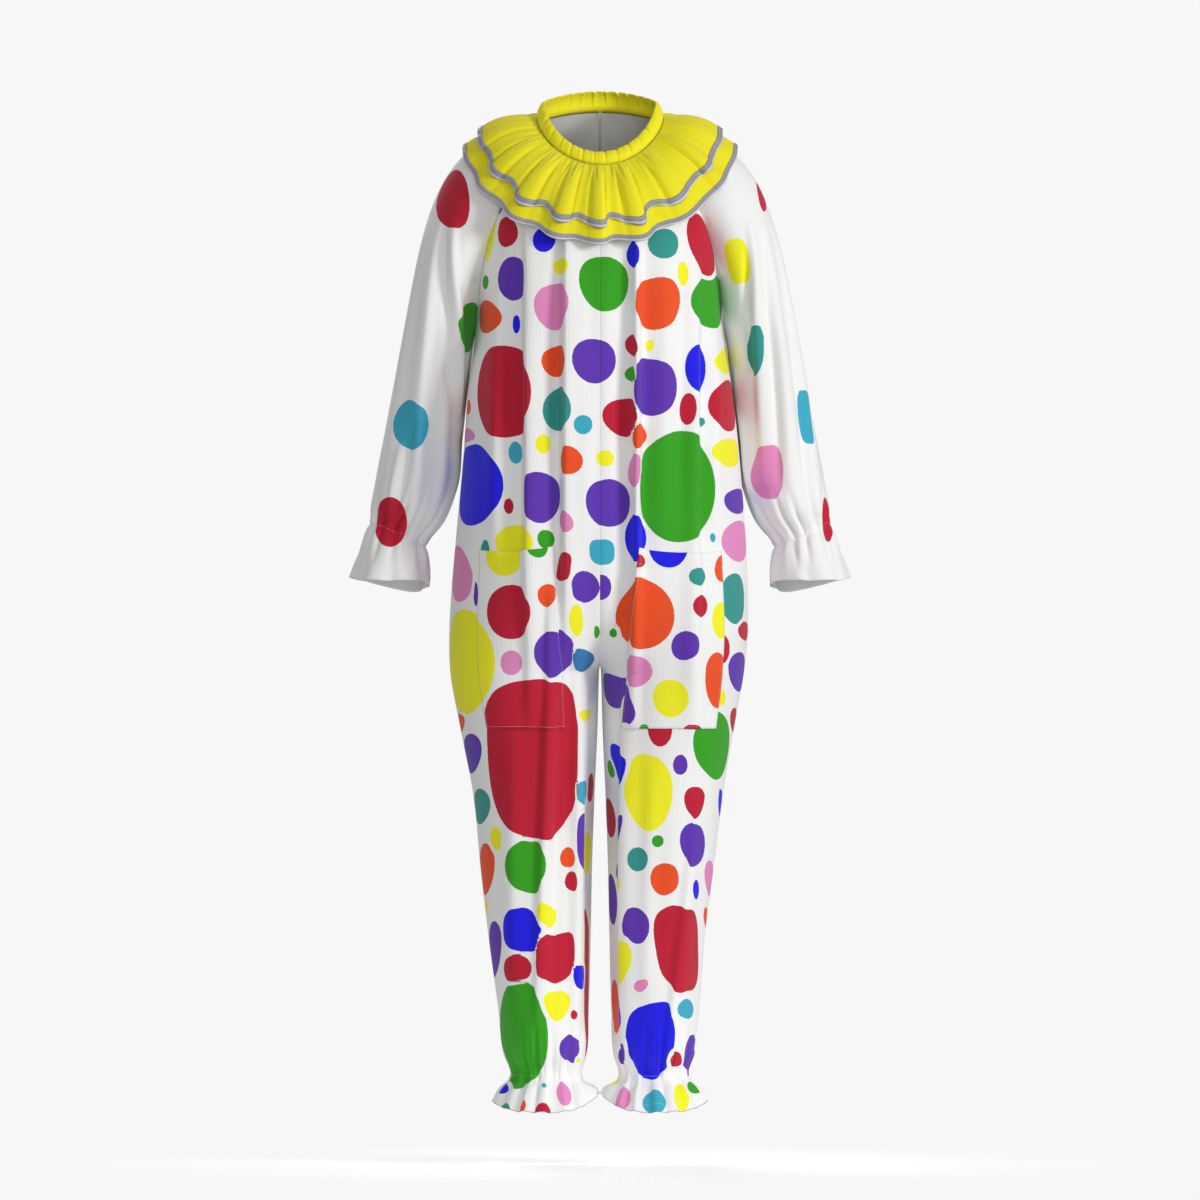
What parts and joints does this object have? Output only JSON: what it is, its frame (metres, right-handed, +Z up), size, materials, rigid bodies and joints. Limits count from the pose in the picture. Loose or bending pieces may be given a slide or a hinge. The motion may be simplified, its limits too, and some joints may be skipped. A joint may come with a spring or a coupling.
{
  "type": "clown costume",
  "caption": "One-piece dotted clown jumpsuit with raglan sleeves, patch pockets, gathered wrists and ankles, and a tiered ruffle collar, in its worn, hollow form.",
  "frame": {"origin": "the middle of the neck opening, where the wearer's neck and shoulders hold the costume up", "axes": "+Z up, -Y the front, +X the wearer's left, which is the viewer's right in a front view"},
  "size_m": [0.7136, 0.3298, 1.4455],
  "materials": {
    "dotted_knit": "matte polyester knit, white with printed round dots in nine colours",
    "white_knit": "matte polyester knit, white with a few printed dots",
    "yellow_cloth": "soft yellow polyester cloth, slight sheen",
    "grey_binding": "grey-lilac binding tape"
  },
  "bodies": {
    "root": {"front_right": "dotted_knit", "front_left": "dotted_knit", "back_right": "dotted_knit", "back_left": "dotted_knit", "sleeve_right": "white_knit", "sleeve_left": "white_knit", "pocket_right": "dotted_knit", "pocket_left": "dotted_knit", "neckband": "yellow_cloth", "collar_lower": "yellow_cloth", "collar_upper": "yellow_cloth", "collar_lower_binding": "grey_binding", "collar_upper_binding": "grey_binding"}
  },
  "joints": []
}
